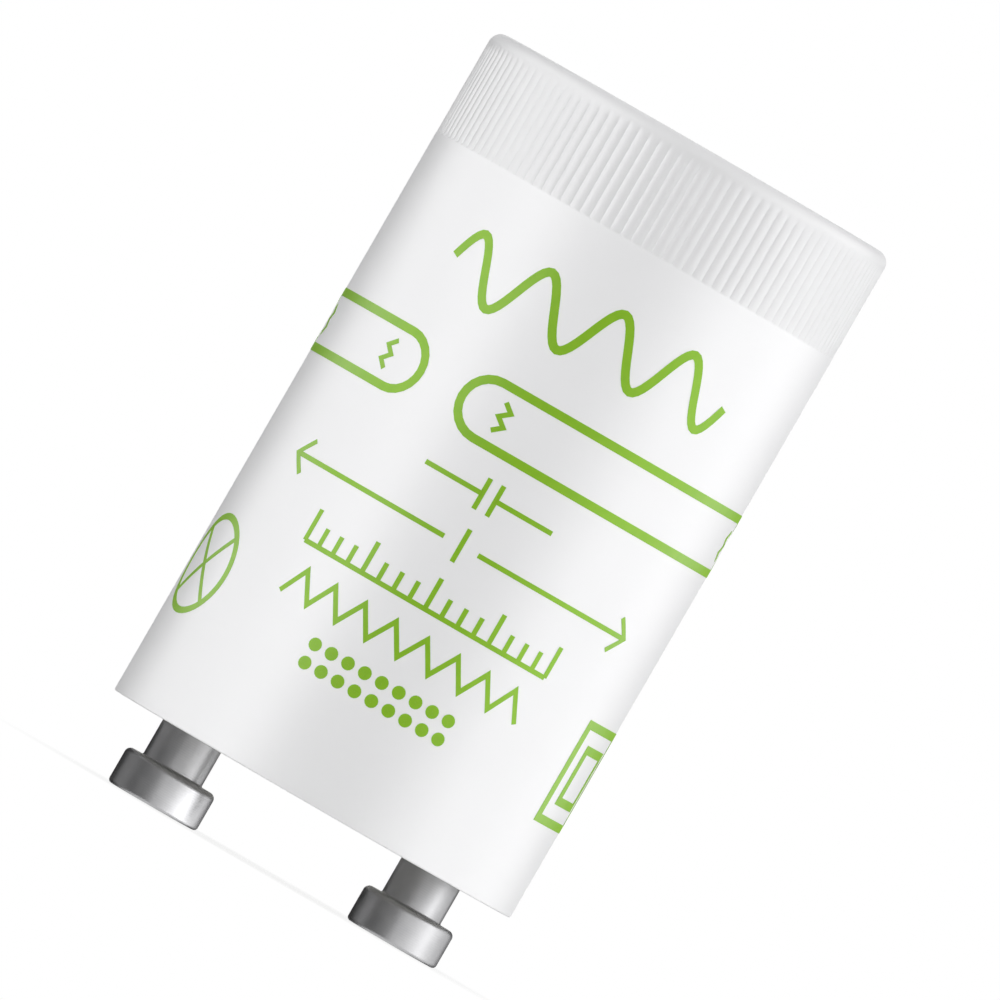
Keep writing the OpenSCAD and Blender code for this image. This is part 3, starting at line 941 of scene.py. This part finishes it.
def yellow_tape():
    """Polyester tape: glossy and slightly wavy, and deeper in colour here and there."""
    material, tree, shader = new_surface("yellow_polyester_tape", {
        "IOR": 1.6, "Coat Weight": 0.3, "Coat Roughness": 0.1})
    place = add_node(tree, "ShaderNodeTexCoord").outputs["Object"]
    waves = add_node(tree, "ShaderNodeTexNoise", {
        "Vector": place, "Scale": size_to_scale(1.5 * MM), "Detail": 3.0})
    colour = add_node(tree, "ShaderNodeMix", {
        "Factor": waves.outputs["Fac"], "A": linear("#D9A520"), "B": linear("#EDBE3A")},
        data_type="RGBA")
    feed(tree, shader, "Base Color", colour.outputs["Result"])
    roughness = add_node(tree, "ShaderNodeMapRange", {
        "Value": waves.outputs["Fac"], "To Min": 0.22, "To Max": 0.36})
    feed(tree, shader, "Roughness", roughness.outputs["Result"])
    bump = add_node(tree, "ShaderNodeBump", {
        "Height": waves.outputs["Fac"], "Strength": 0.25, "Distance": 0.1 * MM})
    feed(tree, shader, "Normal", bump.outputs["Normal"])
    return material


def sprayed_zinc():
    """Grains of sprayed metal, dull and rough."""
    material, tree, shader = new_surface("sprayed_zinc", {"Metallic": 1.0})
    place = add_node(tree, "ShaderNodeTexCoord").outputs["Object"]
    grains = add_node(tree, "ShaderNodeTexNoise", {
        "Vector": place, "Scale": size_to_scale(0.12 * MM), "Detail": 5.0})
    colour = add_node(tree, "ShaderNodeMix", {
        "Factor": grains.outputs["Fac"], "A": linear("#77777C"), "B": linear("#A6A6AB")},
        data_type="RGBA")
    feed(tree, shader, "Base Color", colour.outputs["Result"])
    roughness = add_node(tree, "ShaderNodeMapRange", {
        "Value": grains.outputs["Fac"], "To Min": 0.5, "To Max": 0.75})
    feed(tree, shader, "Roughness", roughness.outputs["Result"])
    bump = add_node(tree, "ShaderNodeBump", {
        "Height": grains.outputs["Fac"], "Strength": 0.9, "Distance": 0.05 * MM})
    feed(tree, shader, "Normal", bump.outputs["Normal"])
    return material


# %% Dress the capacitor
dress("capacitor_winding", wound_film())
dress("capacitor_wrap", yellow_tape())
zinc = sprayed_zinc()
dress("capacitor_end_left", zinc)
dress("capacitor_end_right", zinc)

# %% [markdown]
# ## The stage
# The starter stands on a pale floor in front of nothing but white. The floor is a
# plain sheet. To the camera it is lifted towards white, and more so the farther it
# lies from the starter, so that it ends in the white world without an edge and still
# keeps the starter's own soft shadow.

# %% Floor
shadow_r = 9 * MM
clear_r = 16 * MM
near_lift = 0.85
floor_half = 3.0


def mixed_rays(tree):
    """One for rays that carry a picture: camera, mirror and glass rays."""
    rays = add_node(tree, "ShaderNodeLightPath").outputs
    direct = add_node(tree, "ShaderNodeMath", {
        0: rays["Is Camera Ray"], 1: rays["Is Glossy Ray"]}, operation="MAXIMUM")
    return add_node(tree, "ShaderNodeMath", {
        0: direct.outputs[0], 1: rays["Is Transmission Ray"]},
        operation="MAXIMUM").outputs[0]


def pale_floor():
    material = bpy.data.materials.new("pale_floor")
    material.use_nodes = True
    tree = material.node_tree
    tree.nodes.clear()
    place = add_node(tree, "ShaderNodeTexCoord").outputs["Object"]
    distance = add_node(tree, "ShaderNodeVectorMath", {0: place}, operation="LENGTH")
    lift = add_node(tree, "ShaderNodeMapRange", {
        "Value": distance.outputs["Value"], "From Min": shadow_r, "From Max": clear_r,
        "To Min": near_lift, "To Max": 1.0})
    amount = add_node(tree, "ShaderNodeMath", {
        0: lift.outputs["Result"], 1: mixed_rays(tree)}, operation="MULTIPLY")
    sheet = add_node(tree, "ShaderNodeBsdfDiffuse", {"Color": linear("#FAFAFA")})
    white = add_node(tree, "ShaderNodeEmission", {"Strength": 1.0})
    mix = add_node(tree, "ShaderNodeMixShader", {
        0: amount.outputs[0], 1: sheet.outputs[0], 2: white.outputs[0]})
    add_node(tree, "ShaderNodeOutputMaterial", {"Surface": mix.outputs[0]})
    return material


floor_mesh = bmesh.new()
bmesh.ops.create_grid(floor_mesh, x_segments=8, y_segments=8, size=floor_half)
floor = finish_mesh(floor_mesh, "floor", pale_floor())
# Reflections see the white world in place of the floor, so the pins mirror an even
# white, and the world's light comes through the floor to the underside
floor.visible_glossy = False
floor.visible_shadow = False


# %% World
def white_world(ambient):
    """White to the camera, and a plain even light of this strength on everything."""
    world = bpy.data.worlds.new("white_studio")
    world.use_nodes = True
    tree = world.node_tree
    tree.nodes.clear()
    strength = add_node(tree, "ShaderNodeMapRange", {
        "Value": mixed_rays(tree), "To Min": ambient, "To Max": 1.0})
    sky = add_node(tree, "ShaderNodeBackground", {
        "Color": (1, 1, 1, 1), "Strength": strength.outputs["Result"]})
    add_node(tree, "ShaderNodeOutputWorld", {"Surface": sky.outputs[0]})
    return world


ambient_light = 0.25
scene = bpy.context.scene
scene.world = white_world(ambient_light)
scene.view_settings.view_transform = "Standard"

# %% [markdown]
# ## The lamps
# White plastic shows its form by its sheen, so the lamps are placed for what the wall
# reflects. Narrow, tall lamps stand side by side in an arc on each side, each with its
# own brightness. They put a broad bright band on each flank, and the gap between the
# two arcs leaves the darker band down the middle. A single large softbox would be
# simpler, but its band would have the same brightness from edge to edge.
#
# These lamps show only in reflections, and only on the canister. The turned metal of
# the pins would show them as stripes, so each pin has fainter ones of its own.
# Four broad lamps, which show in no reflection, give the plain level of light. The one
# above shines on the canister alone, because the floor is bright enough without it. Last,
# dark sheets bend round the starter behind the lamps. Only mirrors see them, and they
# make the left half of the pins dark and draw the edges of the wall.

# %% Lamps
def place_on_circle(azimuth, distance, height):
    """A point round the starter; azimuth 0 is the camera's side, 90 its right."""
    turn = math.radians(azimuth)
    return Vector((distance * math.sin(turn), -distance * math.cos(turn), height))


middle_z = 20 * MM


def add_lamp(name, azimuth, distance, height, size, radiance):
    """Adds a rectangular lamp of a given brightness that faces the starter."""
    light = bpy.data.lights.new(name, "AREA")
    light.shape = "RECTANGLE"
    light.size, light.size_y = size
    # A flat lamp of this power sends out this radiance in every direction
    light.energy = radiance * math.pi * size[0] * size[1]
    lamp = bpy.data.objects.new(name, light)
    lamp.location = place_on_circle(azimuth, distance, height)
    aim = Vector((0, 0, middle_z)) - lamp.location
    lamp.rotation_euler = aim.to_track_quat("-Z", "Y").to_euler()
    lamp.visible_camera = False
    scene.collection.objects.link(lamp)
    return lamp


def shine_only_on(lamp, pieces):
    """Links a lamp to these pieces, so that it lights nothing else."""
    receivers = bpy.data.collections.new(lamp.name + "_receivers")
    for piece in pieces:
        receivers.objects.link(piece)
    lamp.light_linking.receiver_collection = receivers


# %% Lamps that only show in reflections
arc_step = 22
tallness = 1.8


def add_arc(name, distance, radiances, pieces):
    """Stands narrow lamps side by side in an arc, each with its own brightness."""
    width = 2 * distance * math.tan(math.radians(arc_step / 2))
    for azimuth, radiance in radiances.items():
        lamp = add_lamp(f"{name}_{azimuth}", azimuth, distance, middle_z,
                        (width, tallness * distance), radiance)
        lamp.visible_diffuse = False
        lamp.visible_transmission = False
        shine_only_on(lamp, pieces)


add_arc("wall_lamp", 0.2, {
    -112: 3.3, -90: 3.7, -68: 3.1, -46: 4.2,
    46: 1.9, 68: 4.5, 90: 1.3, 112: 3.3, 134: 0.2}, [canister, printed_marks])
add_arc("left_pin_lamp", 0.16, {
    -112: 0.3, -90: 0.3, -68: 0.15, -46: 0.25, -24: 0.3,
    24: 0.3, 46: 1.2, 68: 2.6, 90: 1.3, 112: 0.7}, [left_pin])
add_arc("right_pin_lamp", 0.16, {
    -112: 0.25, -90: 0.4, -68: 0.1, -46: 0.2, -24: 0.3,
    24: 0.1, 46: 0.6, 68: 1.4, 90: 0.5}, [right_pin])

# %% Lamps that light the form
far = 0.9
left_panel = add_lamp("left_panel", -20, far, 0.25, (0.5, 0.9), 3.0)
right_panel = add_lamp("right_panel", 100, far, 0.25, (0.5, 0.9), 3.2)
back_lamp = add_lamp("back_lamp", 180, far, 0.6, (0.9, 0.9), 1.0)
top_lamp = add_lamp("top_lamp", 0, 0, far, (0.3, 0.3), 6.0)
for lamp in (left_panel, right_panel, back_lamp, top_lamp):
    lamp.visible_glossy = False
shine_only_on(top_lamp, [canister, printed_marks])


# %% Dark sheets
dark_cloth = new_surface("dark_cloth", {"Base Color": linear("#303030"), "Roughness": 1.0})[0]
sheet_distance = 0.25
sheet_reach = 0.25


def add_dark_sheet(name, start, end):
    """Bends a dark sheet round the starter behind the lamps; only mirrors see it."""
    mesh = bmesh.new()
    corner = place_on_circle(start, sheet_distance, 0)
    points = [mesh.verts.new((corner.x, corner.y, height))
              for height in (-sheet_reach, sheet_reach)]
    edge = mesh.edges.new(points)
    bmesh.ops.spin(mesh, geom=[*points, edge], axis=(0, 0, 1), cent=(0, 0, 0),
                   angle=math.radians(end - start), steps=24)
    sheet = finish_mesh(mesh, name, dark_cloth)
    sheet.visible_camera = False
    sheet.visible_diffuse = False
    sheet.visible_shadow = False


add_dark_sheet("dark_sheet_left", -170, -12)
add_dark_sheet("dark_sheet_right", 140, 176)

# %% [markdown]
# ## The camera
# The starter is seen exactly from the side, from two metres away through a very long
# lens, so that its outline is nearly a true elevation. The camera itself is rolled by
# 30 degrees, which makes the upright starter lean to the right in the picture.

# %% Camera
view_width = 46.1 * MM
camera_distance = 2.1
roll = math.radians(30)
picture_centre = Vector((0.5 * MM, 0, 20.26 * MM))

camera_data = bpy.data.cameras.new("camera")
camera_data.sensor_width = 36
camera_data.lens = camera_data.sensor_width * camera_distance / view_width
camera_data.clip_start = 0.01
camera_data.clip_end = 20
camera = bpy.data.objects.new("camera", camera_data)
scene.collection.objects.link(camera)

back = Vector((0, -1, 0))
level_right = Vector((1, 0, 0))
level_up = back.cross(level_right)
camera_right = math.cos(roll) * level_right + math.sin(roll) * level_up
camera_up = back.cross(camera_right)
turned = Matrix((camera_right, camera_up, back)).transposed()
camera_place = Matrix.Translation(picture_centre + back * camera_distance)
camera.matrix_world = camera_place @ turned.to_4x4()
scene.camera = camera
print("lens in mm:", round(camera_data.lens))

# %% [markdown]
# ## Finish
# Last, the scene is brought up to date. The looks must never make the starter
# bigger.

# %% Bring the scene up to date
bpy.context.view_layer.update()
